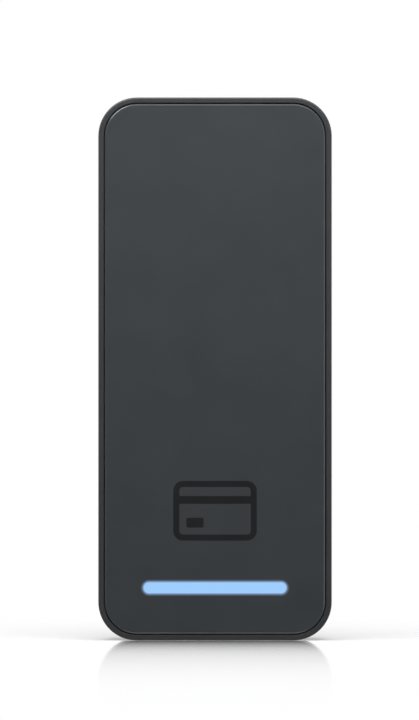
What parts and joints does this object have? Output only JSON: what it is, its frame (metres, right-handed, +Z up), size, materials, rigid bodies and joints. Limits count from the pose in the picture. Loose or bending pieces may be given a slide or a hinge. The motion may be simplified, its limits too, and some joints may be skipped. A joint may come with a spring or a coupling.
{
  "type": "rfid card reader",
  "caption": "Narrow wall-mounted card reader with a flat face, a lit bar and a card symbol, hung on a steel bracket and locked from below.",
  "frame": {"origin": "on the wall plane, in the middle of the reader's width and height", "axes": "+Z up; +Y into the wall, so the face that reads cards looks along -Y; +X to the right as the reader is faced"},
  "size_m": [0.057, 0.0174, 0.1326],
  "materials": {
    "galvanised_steel": "zinc-plated",
    "dark_case": "fine satin grain",
    "panel_film": "smooth satin",
    "symbol_ink": "semi-gloss",
    "foam_tape": "matte",
    "lit_lens": "lit, even",
    "diffuser_film": "matte",
    "white_plastic": "matte",
    "solder_mask": "semi-gloss",
    "lamp_white": "semi-gloss",
    "steel_screw": "zinc-plated",
    "stainless": "bright",
    "copper_trace": "bright",
    "ferrite": "dull",
    "black_plastic": "matte",
    "gold_plate": "bright",
    "chip_black": "matte",
    "crystal_can": "satin",
    "antenna_ceramic": "satin",
    "capacitor_can": "satin",
    "ribbon_film": "semi-gloss",
    "connector_plastic": "matte",
    "brass": "bright",
    "seal_rubber": "matte",
    "label_film": "satin",
    "vent_film": "matte",
    "spring_wire": "bright",
    "button_plastic": "matte"
  },
  "bodies": {
    "bracket": {"wall_bracket": "galvanised_steel"},
    "lock": {"lock_screw": "stainless", "lock_screw_seal": "seal_rubber"},
    "plunger": {"tamper_plunger": "button_plastic"},
    "reset": {"reset_button": "button_plastic", "reset_stem": "stainless"},
    "reader": {"housing": "dark_case", "front_panel": "panel_film", "card_symbol": "symbol_ink", "panel_adhesive": "foam_tape", "light_bar_lens": "lit_lens", "light_diffuser": "diffuser_film", "light_reflector": "white_plastic", "light_board": "solder_mask", "light_board_leds": "lamp_white", "light_board_screws": "steel_screw", "antenna_board": "solder_mask", "antenna_coil": "copper_trace", "ferrite_sheet": "ferrite", "antenna_pin_block": "black_plastic", "antenna_pins": "gold_plate", "main_board": "solder_mask", "board_screws": "steel_screw", "processor": "chip_black", "reader_chip": "chip_black", "crystal": "crystal_can", "bluetooth_antenna": "antenna_ceramic", "power_inductor": "ferrite", "support_chips": "chip_black", "poe_transformer": "ferrite", "capacitors": "capacitor_can", "radio_shield": "crystal_can", "chip_passives": "antenna_ceramic", "network_jack": "stainless", "network_jack_insert": "black_plastic", "network_jack_contacts": "gold_plate", "network_jack_seal": "seal_rubber", "light_cable_connectors": "connector_plastic", "light_cable": "ribbon_film", "sounder": "black_plastic", "sounder_mesh": "vent_film", "rear_cover": "dark_case", "housing_gasket": "seal_rubber", "cover_screws": "stainless", "pocket_seal": "seal_rubber", "rating_label": "label_film", "vent_membrane": "vent_film", "lock_screw_insert": "brass", "tamper_switch": "black_plastic", "tamper_spring": "spring_wire", "reset_switch_body": "black_plastic"}
  },
  "joints": [
    {"name": "reader_lift", "type": "slide", "parent": "bracket", "child": "reader", "axis": [0, 0, 1], "range_m": [0, 0.004]},
    {"name": "lock_withdraw", "type": "slide", "parent": "reader", "child": "lock", "axis": [0, 0, -1], "range_m": [0, 0.004]},
    {"name": "tamper_slide", "type": "slide", "parent": "reader", "child": "plunger", "axis": [0, 1, 0], "range_m": [0, 0.002], "stiffness_N_per_m": 60, "springref_m": 0.004, "deforming": ["tamper_spring"]},
    {"name": "reset_press", "type": "slide", "parent": "reader", "child": "reset", "axis": [0, -1, 0], "range_m": [0, 0.0004], "stiffness_N_per_m": 1500, "springref_m": -0.0004}
  ],
  "couplings": [
    {"joint": "lock_withdraw", "follows": "reader_lift", "ratio": 1}
  ]
}
